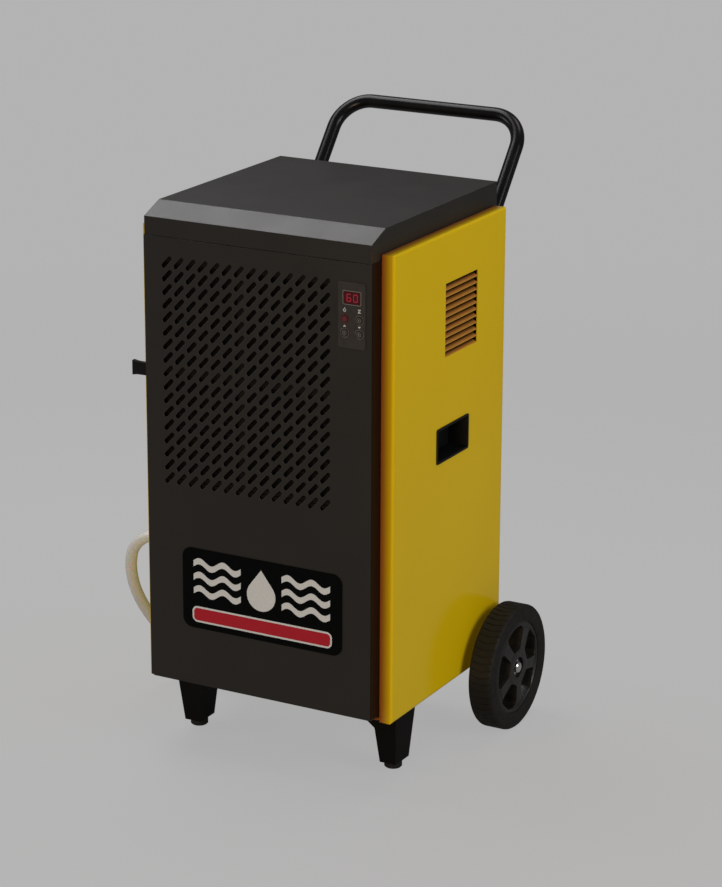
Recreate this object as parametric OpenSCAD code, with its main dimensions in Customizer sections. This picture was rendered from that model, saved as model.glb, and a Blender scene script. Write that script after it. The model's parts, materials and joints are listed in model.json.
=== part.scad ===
// Portable site dehumidifier: a sheet steel cabinet on two wheels and two front legs.
// X runs across the front, Y runs from the front panel to the back, Z is up from the floor.
// The origin is on the floor, under the middle of the machine without its drain hose.

/* [Cabinet] */
// Width of the front panel
cabinet_w = 390; // [384:1:400]
// Depth from the front panel to the rear panel
cabinet_d = 404; // [400:1:416]
// Height of the front panel's bottom edge above the floor
panel_bottom = 123; // [121:1:126]
// Height of the front panel's top edge, where the lid starts
panel_top = 829; // [826:1:840]
// Thickness of the cabinet's sheet steel
sheet = 1.5; // [1.2:0.1:1.8]

/* [Lid] */
// Height of the lid's top above the floor
lid_top = 874; // [868:1:890]
// Width of the lid
lid_w = 387; // [382:1:389]
// How far the sloping front edge runs back
lid_slope_run = 42; // [30:1:60]
// How far the sloping front edge drops
lid_slope_drop = 17; // [12:1:24]

/* [Side covers] */
// How far a side cover stands out from the cabinet's side
cover_stand = 20.7; // [18:0.1:22]
// Distance from the front panel to the cover's front edge
cover_front = 28; // [26:1:34]
// Distance from the front panel to the cover's back edge
cover_back = 395; // [380:1:398]
// Height of the cover's bottom edge
cover_bottom = 110; // [109:1:112]
// Height of the cover's top edge
cover_top = 838; // [832:1:842]

/* [Intake grille] */
// Number of slots in a row
slot_columns = 14; // [10:1:14]
// Number of rows of slots
slot_rows = 17; // [12:1:17]
// Length of a slot
slot_length = 23; // [18:1:24]
// Width of a slot
slot_width = 7; // [5:0.5:8]
// Slope of the slots from the horizontal
slot_slope = 47; // [40:1:55]

/* [Wheels] */
// Outside diameter of a tyre
wheel_d = 203; // [198:1:206]
// Width of a wheel
wheel_w = 41; // [38:1:44]
// Distance from the front panel to the axle
axle_back = 354; // [348:1:366]
// Diameter of the axle
axle_d = 15; // [14:1:16]

/* [Push handle] */
// Outside diameter of the handle's tube
handle_d = 22; // [20:1:24]
// Height of the middle of the grip bar
handle_h = 944; // [930:1:960]
// Distance from the front panel to the middle of the grip bar
handle_reach = 563; // [550:1:570]
// Distance between the middles of the two handle legs
handle_w = 330; // [320:1:336]
// Radius of the two upper bends, at the middle of the tube
handle_bend = 54; // [45:1:60]

/* [Front legs] */
// Width of a leg at the top
leg_top_w = 46; // [43:1:49]
// Width of a leg at the bottom
leg_foot_w = 28; // [27:1:32]
// Diameter of a rubber foot
foot_d = 28; // [24:1:30]

/* [Drain hose] */
// Outside diameter of the drain hose
hose_d = 19; // [18:0.5:20]

/* [Hidden] */
$fn = 48;

// Colours
case_black = [0.11, 0.1, 0.09];
gloss_black = [0.05, 0.05, 0.05];
cover_yellow = [0.9, 0.7, 0.03];
rubber_black = [0.08, 0.08, 0.08];
zinc = [0.7, 0.71, 0.72];
copper = [0.75, 0.42, 0.25];
alloy = [0.78, 0.8, 0.82];
hose_cream = [0.86, 0.83, 0.74];
board_green = [0.1, 0.35, 0.18];
plastic_grey = [0.3, 0.3, 0.31];

// Main places
front_y = -286;
back_y = front_y + cabinet_d;
side_x = cabinet_w / 2;
inner_x = side_x - sheet;
cover_x = side_x + cover_stand;
cover_bend = 4;
lid_x = lid_w / 2;
flange = 12;
pan_bottom = panel_bottom - 3;
pan_t = 2;
pan_top = pan_bottom + pan_t;
seam = 0.8;
screw_d = 4;
screw_hole_d = 4.4;
rear_screw_z = [200, 400, 640, 800];
gland_x = -120;
gland_z = 190;

// Intake grille
slot_pitch_x = 20.9;
slot_pitch_z = 21.15;
slot_first_x = -155;
slot_first_z = 452;

// Control panel
control_x = 161.5;
control_z = 749.5;
control_w = 45;
control_h = 99;
control_t = 1.2;
display_x = 161.8;
display_z = 775.5;
display_w = 28.4;
display_h = 19;
button_x = [149.8, 174.1];
button_z = [743.5, 722.4];
button_d = 12.4;
button_hole_d = 13.2;

// Badge
badge_x = 6;
badge_z = 281;
badge_w = 280;
badge_h = 130;
badge_r = 16;
badge_t = 1.2;
emblem_t = 0.5;

// Louvres and grip in the side covers
louvre_front = 192;
louvre_back = 298;
louvre_bottom = 645;
louvre_count = 11;
louvre_pitch = 10.5;
blade_t = 1.2;
blade_tilt = 62;
blade_length = 9;
grip_front = 166;
grip_back = 272;
grip_bottom = 483;
grip_top = 539;
grip_depth = 34;
grip_wall = 2;

// Filter
filter_y = front_y + 9;
filter_t = 8;
filter_left = -194;
filter_right = 132;
filter_bottom = 443;
filter_top = 801;
filter_border = 13;
tab_z = 615;
plate_gap = 0.2;
grid_inset = 9;
grid_bar = 1.6;
grid_bars_x = 16;
grid_bars_z = 18;
rail_t = 3;
rail_gap = 0.5;
rail_lip = 6;

// Coils, tray and drain
coil_row_count = 12;
coil_tube_pitch = 38;
coil_tube_d = 9.5;
pipe_bend = 9;
elbow_wall = 1.2;
elbow_overlap = 0.5;
coil_first_z = 352;
coil_depth = 44;
coil_row_gap = 22;
evaporator_front = 30;
condenser_front = 92;
fin_count = 46;
fin_half_span = 156;
fin_t = 0.6;
fin_bottom = 334;
fin_top = 792;
plate_x = 160;
tray_front = 24;
tray_back = 172;
tray_bottom = 276;
tray_top = 322;
tray_wall = 2;
spigot_back = 150;
spigot_z = 296;
spigot_bore_d = 11;

// Fan
fan_z = 590;
fan_d = 310;
shroud_hole_d = 322;
shroud_back = 182;
shroud_bottom = 348;
fan_back = 214;
motor_back = 244;
motor_d = 92;
motor_length = 68;
shaft_d = 8;

// Compressor
compressor_x = 62;
compressor_back = 292;
compressor_d = 122;
compressor_bottom = 140;
compressor_top = 300;
mount_reach = 52;
accumulator_x = -30;
accumulator_d = 50;

// Wheels and axle
wheel_r = wheel_d / 2;
axle_y = front_y + axle_back;
wheel_in = 231;
wheel_out = wheel_in + wheel_w;
rim_r = 75;
hub_r = 24;
hub_in = 219;
hub_recess_r = 17;
hub_recess_depth = 7;
hub_out = wheel_out;
axle_end = hub_out - 2;
axle_clearance = 0.08;
cap_d = 18;
tyre_round = 6;
tread_count = 56;
tread_slant = 12;
tread_depth = 1.6;

// Push handle
handle_x = handle_w / 2;
handle_r = handle_d / 2;
handle_wall = 2;
handle_foot_z = 560;
handle_knee_z = 769;
handle_leg_y = back_y + 4 + handle_r;
handle_bar_y = front_y + handle_reach;
handle_lean = atan((handle_bar_y - handle_leg_y) / (handle_h - handle_knee_z));
handle_rise = (handle_h - handle_knee_z) / cos(handle_lean);
knee_bend = 60;
collar_reach = 3;
knee_cut = knee_bend * tan(handle_lean / 2);
knee_z = handle_knee_z - knee_cut;
clamp_z = [595, 715];
clamp_bolt_x = 20;

// Legs and feet
leg_front = 84;
leg_right_x = 194;
leg_left_x = 159;
leg_top_depth = 70;
leg_foot_depth = 43;
leg_bottom = 18;
leg_t = 2.5;
gusset_x = 120;
foot_back = 117;

// Drain hose: the run from the spigot to its coil, on the left side and behind the machine
hose_route = [
    [-222, -136, 296], [-242, -136, 296], [-262, -136, 296], [-288, -135, 291], [-311, -132, 278],
    [-328, -127, 259], [-337, -121, 236], [-341, -114, 210], [-341, -103, 180], [-338, -86, 148],
    [-333, -64, 116], [-327, -36, 84], [-320, -2, 54], [-312, 36, 30], [-306, 75, 15], [-302, 114, 10],
    [-300, 154, 10], [-300, 194, 10], [-296, 229, 10], [-286, 262, 10], [-270, 289, 10], [-250, 311, 10],
    [-228, 331, 10]];
hose_sides = 12;
coil_x = -130;
coil_y = 264;
hose_coil_r = 105;

// ---------- Helpers ----------

// Extrudes a shape drawn in X and Z from y to y + t
module upright(y, t) {
    translate([0, y + t, 0]) rotate([90, 0, 0]) linear_extrude(t) children();
}

// Extrudes a shape drawn in Y and Z from x to x + t
module sideways(x, t) {
    translate([x, 0, 0]) rotate([90, 0, 90]) linear_extrude(t) children();
}

// Puts a right hand part on the left or the right side
module on_side(side) {
    if (side < 0) mirror([1, 0, 0]) children();
    else children();
}

// A box from its lowest to its highest corner
module box_between(low, high) {
    translate(low) cube(high - low);
}

// A cylinder along X from x0 to x1
module bar_x(x0, x1, y, z, d) {
    translate([x0, y, z]) rotate([0, 90, 0]) cylinder(d = d, h = x1 - x0);
}

// A cylinder along Y from y0 to y1
module bar_y(y0, y1, x, z, d) {
    translate([x, y1, z]) rotate([90, 0, 0]) cylinder(d = d, h = y1 - y0);
}

// A rectangle with round corners, centred
module rounded_rect(w, h, r) {
    square([w - 2 * r, h], center = true);
    square([w, h - 2 * r], center = true);
    for (i = [-1, 1], j = [-1, 1]) translate([i * (w / 2 - r), j * (h / 2 - r)]) circle(r = r);
}

// A slot with round ends, centred
module slot(length, width) {
    square([length - width, width], center = true);
    for (end = [-1, 1]) translate([end * (length - width) / 2, 0]) circle(d = width);
}

// A rectangle from x = 0 to depth, rounded at its two far corners
module outer_rounded(depth, length, r) {
    translate([0, -length / 2]) square([depth - r, length]);
    translate([0, r - length / 2]) square([depth, length - 2 * r]);
    for (j = [-1, 1]) translate([depth - r, j * (length / 2 - r)]) circle(r = r);
}

// Length that a bend takes from each of its two straights
function bend_cut(points, i) = i <= 0 || i >= len(points) - 1 ? 0
    : pipe_bend / tan(acos(unit(points[i - 1] - points[i]) * unit(points[i + 1] - points[i])) / 2);

// Length that a straight reaches into its elbow
function reach_in(points, i) = i <= 0 || i >= len(points) - 1 ? 0 : elbow_overlap;

// A pipe through a list of points, with a round elbow over each corner
module pipe_run(points, d) {
    for (i = [1 : len(points) - 1]) {
        way = unit(points[i] - points[i - 1]);
        start = points[i - 1] + way * (bend_cut(points, i - 1) - reach_in(points, i - 1));
        length = norm(points[i] - start) - bend_cut(points, i) + reach_in(points, i);
        translate(start) rotate([0, acos(way[2]), atan2(way[1], way[0])]) cylinder(d = d, h = length);
    }
    for (i = [1 : len(points) - 2]) {
        a = unit(points[i - 1] - points[i]);
        b = unit(points[i + 1] - points[i]);
        middle = points[i] + unit(a + b) * pipe_bend / sin(acos(a * b) / 2);
        u = unit(points[i] + a * bend_cut(points, i) - middle);
        v = unit(points[i] + b * bend_cut(points, i) - middle);
        w = unit(cross(u, v));
        side = cross(w, u);
        multmatrix([[u[0], side[0], w[0], middle[0]], [u[1], side[1], w[1], middle[1]],
            [u[2], side[2], w[2], middle[2]], [0, 0, 0, 1]])
            rotate_extrude(angle = acos(u * v)) translate([pipe_bend, 0]) circle(d = d + elbow_wall);
    }
}

// Points of a polygon whose corners are rounded to radius r with n steps
function rounded_outline(points, r, n) = let (count = len(points)) [
    for (i = [0 : count - 1]) let (
        here = points[i],
        before = points[(i + count - 1) % count],
        after = points[(i + 1) % count],
        a = (before - here) / norm(before - here),
        b = (after - here) / norm(after - here),
        half = acos(a * b) / 2,
        middle = here + (a + b) / norm(a + b) * r / sin(half),
        start = here + a * r / tan(half),
        end = here + b * r / tan(half),
        from = atan2(start[1] - middle[1], start[0] - middle[0]),
        to = atan2(end[1] - middle[1], end[0] - middle[0]),
        turn = ((to - from + 540) % 360) - 180
    ) for (k = [0 : n]) middle + r * [cos(from + turn * k / n), sin(from + turn * k / n)]];

// ---------- Cabinet ----------

module base_pan() color(case_black) difference() {
    box_between([-inner_x + 0.5, front_y + 3.5, pan_bottom],
        [inner_x - 0.5, back_y - 3.5, pan_bottom + 30]);
    box_between([-inner_x + 2, front_y + 5, pan_top], [inner_x - 2, back_y - 5, pan_bottom + 31]);
    for (i = [-1, 1], j = [-1, 1])
        translate([compressor_x + i * mount_reach, front_y + compressor_back + j * mount_reach, 0])
            cylinder(d = 8.2, h = 200);
}

module intake_slots() {
    for (i = [0 : slot_columns - 1], j = [0 : slot_rows - 1])
        translate([slot_first_x + i * slot_pitch_x, slot_first_z + j * slot_pitch_z])
            rotate(slot_slope) slot(slot_length, slot_width);
}

module front_panel() color(case_black) upright(front_y, sheet) difference() {
    translate([-side_x, panel_bottom]) square([cabinet_w, panel_top - panel_bottom - seam]);
    intake_slots();
    translate([control_x, control_z]) rounded_rect(41.4, 90, 4);
}

module side_openings(side) {
    translate([front_y + (grip_front + grip_back) / 2, (grip_bottom + grip_top) / 2])
        square([grip_back - grip_front - 2, grip_top - grip_bottom - 2], center = true);
    translate([front_y + louvre_front - 4, louvre_bottom - 4])
        square([louvre_back - louvre_front + 8, louvre_count * louvre_pitch + 8]);
    if (side < 0) {
        translate([front_y + spigot_back, spigot_z]) circle(d = 17);
        translate([filter_y - 1, filter_bottom - 3])
            square([filter_t + 2, filter_top - filter_bottom + 6]);
    }
}

module cabinet_side(side) color(case_black) on_side(side) difference() {
    union() {
        sideways(inner_x, sheet) difference() {
            translate([front_y + sheet, panel_bottom])
                square([cabinet_d - 2 * sheet, panel_top - panel_bottom]);
            side_openings(side);
        }
        box_between([side_x - flange, front_y + sheet, panel_bottom + 32],
            [side_x - sheet / 2, front_y + 2 * sheet, panel_top]);
        box_between([side_x - flange, back_y - 2 * sheet, panel_bottom + 32],
            [side_x - sheet / 2, back_y - sheet, panel_top]);
        box_between([side_x - flange, front_y + sheet, panel_top - sheet],
            [side_x - sheet / 2, back_y - sheet, panel_top]);
    }
    for (z = rear_screw_z) bar_y(back_y - 10, back_y + 10, side_x - 8, z, screw_hole_d);
    for (z = clamp_z) bar_y(back_y - 10, back_y + 10, handle_x + clamp_bolt_x, z, 15);
}

module rear_panel() color(case_black) upright(back_y - sheet, sheet) difference() {
    translate([-side_x, panel_bottom]) square([cabinet_w, panel_top - panel_bottom]);
    for (j = [-7 : 7]) let (reach = sqrt(pow(150, 2) - pow(j * 19, 2)))
        for (i = [-1, 1]) translate([i * (reach / 2 + 4), fan_z + j * 19]) slot(reach - 2, 9);
    for (side = [-1, 1], z = rear_screw_z) translate([side * (side_x - 8), z]) circle(d = screw_hole_d);
    for (side = [-1, 1], z = clamp_z, j = [-1, 1])
        translate([side * handle_x + j * clamp_bolt_x, z]) circle(d = 6.6);
    translate([gland_x, gland_z]) circle(d = 20.4);
}

module lid_outline(inset) {
    back = front_y + cabinet_d + 0.5;
    polygon([
        [front_y + inset, panel_top],
        [front_y + inset, lid_top - lid_slope_drop - inset * 0.6],
        [front_y + lid_slope_run + inset * 0.4, lid_top - inset],
        [back - inset, lid_top - inset],
        [back - inset, panel_top]]);
}

module lid() color(case_black) difference() {
    sideways(-lid_x, lid_w) lid_outline(0);
    difference() {
        sideways(-lid_x + sheet, lid_w - 2 * sheet) lid_outline(sheet);
        box_between([-lid_x, front_y, panel_top - 1], [lid_x, front_y + flange, panel_top + sheet]);
    }
}

// ---------- Side covers ----------

module cover_block(inset, bend) {
    depth = cover_stand - inset;
    length = cover_back - cover_front - 2 * inset;
    height = cover_top - cover_bottom - 2 * inset;
    mid_y = front_y + (cover_front + cover_back) / 2;
    mid_z = (cover_bottom + cover_top) / 2;
    intersection() {
        translate([side_x, mid_y, cover_bottom]) linear_extrude(cover_top - cover_bottom)
            outer_rounded(depth, length, bend);
        translate([side_x, 0, mid_z]) upright(mid_y - length / 2, length)
            outer_rounded(depth, height, bend);
    }
}

module side_cover(side) color(cover_yellow) on_side(side) {
    difference() {
        cover_block(0, cover_bend);
        difference() {
            cover_block(sheet, cover_bend - sheet);
            // the stiffening flanges at the cover's top and bottom stay attached to the cabinet
            box_between([side_x, front_y, cover_bottom], [side_x + sheet, back_y, cover_bottom + flange]);
            box_between([side_x, front_y, cover_top - flange], [side_x + sheet, back_y, cover_top]);
        }
        sideways(side_x - 1, cover_stand + 2) {
            translate([front_y + (grip_front + grip_back) / 2, (grip_bottom + grip_top) / 2])
                square([grip_back - grip_front - 2, grip_top - grip_bottom - 2], center = true);
            if (side < 0) translate([front_y + spigot_back, spigot_z]) circle(d = 17);
        }
        for (k = [0 : louvre_count - 1])
            box_between(
                [side_x + 5, front_y + louvre_front, louvre_bottom + k * louvre_pitch + 1.4],
                [cover_x + 1, front_y + louvre_back, louvre_bottom + (k + 1) * louvre_pitch]);
    }
    // blades pressed inward, each joined to the cover along its bottom edge
    for (k = [0 : louvre_count - 1])
        translate([cover_x - sheet + 0.4, front_y + louvre_front + 0.5, louvre_bottom + k * louvre_pitch + 0.4])
            rotate([0, -blade_tilt, 0]) cube([blade_t, louvre_back - louvre_front - 1, blade_length]);
    // a small tongue hooks under the cabinet's front corner
    box_between([side_x - 6, front_y + cover_front - 8, pan_bottom - 3.5],
        [side_x + 2, front_y + cover_front + 12, pan_bottom - 2]);
}

// ---------- Hand grips in the sides ----------

module grip_cup(side) color(rubber_black) on_side(side) {
    mid_y = front_y + (grip_front + grip_back) / 2;
    mid_z = (grip_bottom + grip_top) / 2;
    width = grip_back - grip_front;
    height = grip_top - grip_bottom;
    difference() {
        union() {
            translate([0, mid_y, mid_z]) sideways(cover_x, 1.6) rounded_rect(width, height, 4);
            translate([0, mid_y, mid_z]) sideways(cover_x - grip_depth, grip_depth + 0.5)
                rounded_rect(width - 3, height - 3, 3);
        }
        translate([0, mid_y, mid_z]) sideways(cover_x - grip_depth + grip_wall, grip_depth + 2)
            rounded_rect(width - 3 - 2 * grip_wall, height - 3 - 2 * grip_wall, 3);
    }
}

// ---------- Front legs and feet ----------

// One side face of a leg, drawn in Y and Z
module leg_side_outline() {
    polygon([
        [front_y + leg_front, leg_bottom],
        [front_y + leg_front + leg_foot_depth, leg_bottom],
        [front_y + leg_front + leg_top_depth, pan_bottom],
        [front_y + leg_front, pan_bottom]]);
}

// Both legs have the same shape: the edge toward +X is upright and the other one slants.
// leg_edge_x is the place of the upright edge, measured away from the middle of the machine.
function leg_edge_x(side) = side > 0 ? leg_right_x : leg_left_x;
function leg_slant_x(side, z) =
    leg_edge_x(side) - side * (leg_foot_w + (leg_top_w - leg_foot_w) * (z - leg_bottom) / (pan_bottom - leg_bottom));
function leg_inner_x(side, z) = side > 0 ? leg_slant_x(side, z) : leg_edge_x(side);
function foot_x(side) = leg_edge_x(side) - side * 22;

// A leg's front face, drawn in X and Z, with its border moved inward
module leg_face(side, inset) {
    low = leg_bottom + inset;
    high = pan_bottom - inset;
    polygon([
        [leg_slant_x(side, low) + side * inset, low],
        [leg_edge_x(side) - side * inset, low],
        [leg_edge_x(side) - side * inset, high],
        [leg_slant_x(side, high) + side * inset, high]]);
}

module leg(side) color(case_black) on_side(side) {
    gusset_z = side > 0 ? 72 : 61;
    difference() {
        intersection() {
            upright(front_y + leg_front, leg_top_depth) leg_face(side, 0);
            sideways(100, 150) leg_side_outline();
        }
        upright(front_y + leg_front + leg_t, leg_top_depth) leg_face(side, leg_t);
        translate([foot_x(side), front_y + foot_back, 0]) cylinder(d = 8.4, h = 40);
        // room for the lower edge of the side cover
        box_between([side_x - 0.5, front_y, cover_bottom - 1], [cover_x, back_y, pan_bottom + 1]);
    }
    // flared gusset on the front face, toward the middle of the machine
    upright(front_y + leg_front, leg_t) polygon([
        [gusset_x, pan_bottom],
        [gusset_x, pan_bottom - 20],
        [leg_inner_x(side, gusset_z) + 0.5, gusset_z],
        [leg_inner_x(side, pan_bottom) + 8, pan_bottom]]);
}

module foot(side) color(rubber_black) on_side(side) translate([foot_x(side), front_y + foot_back, 0]) {
    rotate_extrude() polygon([
        [0, 0], [foot_d / 2 - 2, 0], [foot_d / 2, 2], [foot_d / 2, leg_bottom - 3],
        [foot_d / 2 - 1.5, leg_bottom], [0, leg_bottom]]);
    cylinder(d = 8, h = leg_bottom + 8);
}

// ---------- Axle ----------

module axle() color(zinc) bar_x(-axle_end, axle_end, axle_y, wheel_r, axle_d);

module axle_brackets() color(case_black) for (side = [-1, 1]) on_side(side) difference() {
    union() {
        sideways(168, 5) polygon([
            [axle_y - 34, pan_bottom], [axle_y - 14, wheel_r - 14], [axle_y + 14, wheel_r - 14],
            [axle_y + 24, pan_bottom]]);
        box_between([148, axle_y - 34, pan_bottom - 4], [172, axle_y + 24, pan_bottom]);
    }
    bar_x(160, 180, axle_y, wheel_r, axle_d + 0.04);
}

module axle_caps() color(alloy) for (side = [-1, 1]) on_side(side) difference() {
    face = hub_out - hub_recess_depth;
    translate([face + 0.6, axle_y, wheel_r]) rotate([0, 90, 0]) rotate_extrude() polygon([
        [0, 0], [cap_d / 2 + 4, 0], [cap_d / 2 + 4, 1.2], [cap_d / 2, 1.2], [cap_d / 2, 5.5],
        [cap_d / 2 - 1.6, 7.4], [cap_d / 2 - 4, 8.4], [0, 8.8]]);
    bar_x(face - 1, axle_end, axle_y, wheel_r, axle_d);
}

// ---------- Wheels ----------

module tyre(side) color(rubber_black) on_side(side) translate([wheel_in, axle_y, wheel_r]) difference() {
    edge_r = wheel_r - tyre_round;
    rotate([0, 90, 0]) rotate_extrude($fn = 96) polygon(concat(
        [[rim_r + 0.02, 1.5], [rim_r + 6, 0]],
        [for (a = [-90 : 22.5 : 0]) [edge_r, tyre_round] + tyre_round * [cos(a), sin(a)]],
        [for (a = [0 : 22.5 : 90]) [edge_r, wheel_w - tyre_round] + tyre_round * [cos(a), sin(a)]],
        [[rim_r + 6, wheel_w], [rim_r + 0.02, wheel_w - 1.5]]));
    // grooves across the tread, which meet at a slant in the middle
    for (k = [0 : tread_count - 1]) rotate([k * 360 / tread_count, 0, 0])
        translate([wheel_w / 2, 0, wheel_r - tread_depth]) for (half = [-1, 1])
            rotate([0, 0, half * tread_slant]) translate([half < 0 ? -wheel_w / 2 - 3 : -0.8, -1.2, 0])
                cube([wheel_w / 2 + 3.8, 2.4, 10]);
}

// One of the five windows of a rim, drawn around the wheel's middle
module rim_window() {
    corners = [[31, 22], [69, 27.5], [70, 0], [69, -27.5], [31, -22]];
    polygon(rounded_outline([for (c = corners) c[0] * [cos(c[1]), sin(c[1])]], 9, 8));
}

module rim(side) color(rubber_black) on_side(side) difference() {
    translate([0, axle_y, wheel_r]) rotate([0, 90, 0]) rotate_extrude($fn = 96) polygon([
        [0, hub_in], [hub_r - 3, hub_in], [hub_r - 3, wheel_in + 12], [68, wheel_in + 12],
        [68, wheel_in + 3], [rim_r, wheel_in + 3], [rim_r, wheel_out - 3], [70, wheel_out - 1.5],
        [67, wheel_out - 4], [62, hub_out - 2], [32, hub_out - 1], [27, hub_out], [0, hub_out]]);
    translate([0, axle_y, wheel_r]) for (k = [0 : 4]) rotate([26 + 72 * k, 0, 0])
        sideways(hub_in - 1, wheel_w + 20) rim_window();
    bar_x(hub_in - 1, wheel_out + 1, axle_y, wheel_r, axle_d + 2 * axle_clearance);
    bar_x(hub_out - hub_recess_depth, wheel_out + 1, axle_y, wheel_r, 2 * hub_recess_r);
}

// ---------- Push handle ----------

// The handle's outer shape: two legs that lean back above their knees, and the grip bar
module handle_run() {
    corner = handle_rise - knee_cut - handle_bend;
    for (side = [-1, 1]) on_side(side) {
        translate([handle_x, handle_leg_y, 0]) {
            translate([0, 0, handle_foot_z]) cylinder(r = handle_r, h = knee_z - handle_foot_z - collar_reach);
            // collar over the foot of the bend
            translate([0, 0, knee_z - 10]) cylinder(r = handle_r + 1.5, h = 10 + collar_reach);
        }
        translate([handle_x, handle_leg_y + knee_bend, knee_z]) rotate([-handle_lean, 0, 0]) {
            rotate([0, 90, 0]) rotate([0, 0, -90]) rotate_extrude(angle = handle_lean)
                translate([knee_bend, 0]) circle(r = handle_r);
            translate([0, -knee_bend, 0]) {
                cylinder(r = handle_r, h = corner);
                translate([-handle_bend, 0, corner]) rotate([90, 0, 0]) rotate_extrude(angle = 90)
                    translate([handle_bend, 0]) circle(r = handle_r);
                translate([-handle_x, 0, corner + handle_bend]) rotate([0, 90, 0])
                    cylinder(r = handle_r, h = handle_x - handle_bend);
            }
        }
    }
}

module push_handle() color(gloss_black) difference() {
    handle_run();
    for (side = [-1, 1]) translate([side * handle_x, handle_leg_y, handle_foot_z - 1])
        cylinder(r = handle_r - handle_wall, h = handle_knee_z - handle_foot_z - 30);
}

module handle_clamps() color(gloss_black) for (side = [-1, 1], z = clamp_z)
    translate([side * handle_x, 0, z]) difference() {
        union() {
            box_between([-28, back_y, -14], [28, back_y + 4, 14]);
            translate([0, handle_leg_y, -14]) cylinder(r = handle_r + 3, h = 28);
            box_between([-handle_r - 3, back_y + 1, -14], [handle_r + 3, handle_leg_y, 14]);
        }
        translate([0, handle_leg_y, -20]) cylinder(r = handle_r + 0.02, h = 40);
        for (j = [-1, 1]) bar_y(back_y - 1, back_y + 5, j * clamp_bolt_x, 0, 6.6);
    }

module handle_bolts() color(zinc) for (side = [-1, 1], z = clamp_z, j = [-1, 1])
    translate([side * handle_x + j * clamp_bolt_x, 0, z]) {
        bar_y(back_y - 8, back_y + 4.1, 0, 0, 6);
        bar_y(back_y + 4, back_y + 5.2, 0, 0, 11.5);
        translate([0, back_y + 9, 0]) rotate([90, 0, 0]) cylinder(d = 11, h = 4, $fn = 6);
        translate([0, back_y - sheet, 0]) rotate([90, 0, 0]) cylinder(d = 11, h = 5, $fn = 6);
    }

// ---------- Badge: a water drop between waves over a plain bar ----------

module badge_plate() color(gloss_black) translate([badge_x, 0, badge_z]) upright(front_y - badge_t, badge_t)
    rounded_rect(badge_w, badge_h, badge_r);

function wave_edge(length, rise, offset, steps) =
    [for (k = [0 : steps]) [length * (k / steps - 0.5), offset + rise * sin(720 * k / steps)]];
function reversed(list) = [for (k = [len(list) - 1 : -1 : 0]) list[k]];

module wave(length, rise, thick) {
    polygon(concat(
        wave_edge(length, rise, thick / 2, 24),
        reversed(wave_edge(length, rise, -thick / 2, 24))));
}

module water_drop(r, height) {
    // straight flanks leave the circle where they touch it
    touch = asin(r / (height - r));
    circle(r = r);
    polygon([[0, height - r], [-r * cos(touch), r * sin(touch)], [r * cos(touch), r * sin(touch)]]);
}

module badge_emblem() color("white") translate([badge_x, 0, badge_z + 16])
    upright(front_y - badge_t - emblem_t, emblem_t) {
        translate([0, -8]) water_drop(25, 66);
        for (side = [-1, 1], row = [-1 : 1]) translate([side * 78, 2 + row * 22]) wave(84, 5, 10);
    }

module badge_bar() color([0.75, 0.08, 0.1]) translate([badge_x, 0, badge_z - 42])
    upright(front_y - badge_t - emblem_t, emblem_t) rounded_rect(240, 20, 6);

// ---------- Controls ----------

module button_holes(d) {
    for (x = button_x, z = button_z) translate([x, z]) circle(d = d);
}

module control_panel() color(gloss_black) upright(front_y - control_t, control_t) difference() {
    translate([control_x, control_z]) rounded_rect(control_w, control_h, 3);
    button_holes(button_hole_d);
    translate([display_x, display_z]) rounded_rect(display_w, display_h, 1.5);
}

module display_window() color([0.25, 0.02, 0.02]) translate([display_x, 0, display_z]) {
    upright(front_y - control_t + 0.1, control_t + 0.4) rounded_rect(display_w - 0.4, display_h - 0.4, 1.3);
    upright(front_y + 0.3, 3.6) rounded_rect(display_w + 5, display_h + 4, 1);
}

module button(x, z) color(plastic_grey) {
    bar_y(front_y - control_t - 1.4, front_y + 0.5, x, z, button_d);
    bar_y(front_y + 0.3, front_y + 1.3, x, z, button_d + 2);
    bar_y(front_y + 1.2, front_y + 3.8, x, z, 5);
}

module control_board() color(board_green) {
    upright(front_y + 6.5, 1.6) translate([control_x, control_z]) difference() {
        square([38, 94], center = true);
        for (i = [-1, 1], j = [-1, 1]) translate([i * 16.5, j * 44]) circle(d = 3.2);
    }
    // switches, plug and display on the board
    for (x = button_x, z = button_z)
        translate([x, 0, z]) upright(front_y + 5.1, 1.5) square(6.2, center = true);
    translate([control_x, 0, control_z - 38]) upright(front_y + 8, 5) square([26, 7], center = true);
    translate([display_x, 0, display_z]) upright(front_y + 4, 2.6) square([26, 17], center = true);
}

// ---------- Air filter ----------

module filter_rails() color(zinc) for (up = [0, 1])
    translate([0, filter_y, up == 1 ? filter_top : filter_bottom]) mirror([0, 0, 1 - up]) difference() {
        box_between([-inner_x + 4, -rail_t, -rail_lip], [filter_right + 8, filter_t + rail_t, rail_t]);
        box_between([-inner_x, -rail_gap, -rail_lip - 1],
            [filter_right + 5, filter_t + rail_gap, rail_gap]);
    }

// The frame's outline with its four windows, drawn in X and Z
module filter_outline() {
    width = filter_right - filter_left;
    height = filter_top - filter_bottom;
    translate([(filter_left + filter_right) / 2, (filter_bottom + filter_top) / 2]) difference() {
        square([width, height], center = true);
        for (i = [-1, 1], j = [-1, 1])
            translate([i * (width - filter_border) / 4, j * (height - filter_border) / 4])
                square([(width - 3 * filter_border) / 2, (height - 3 * filter_border) / 2], center = true);
    }
}

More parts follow.
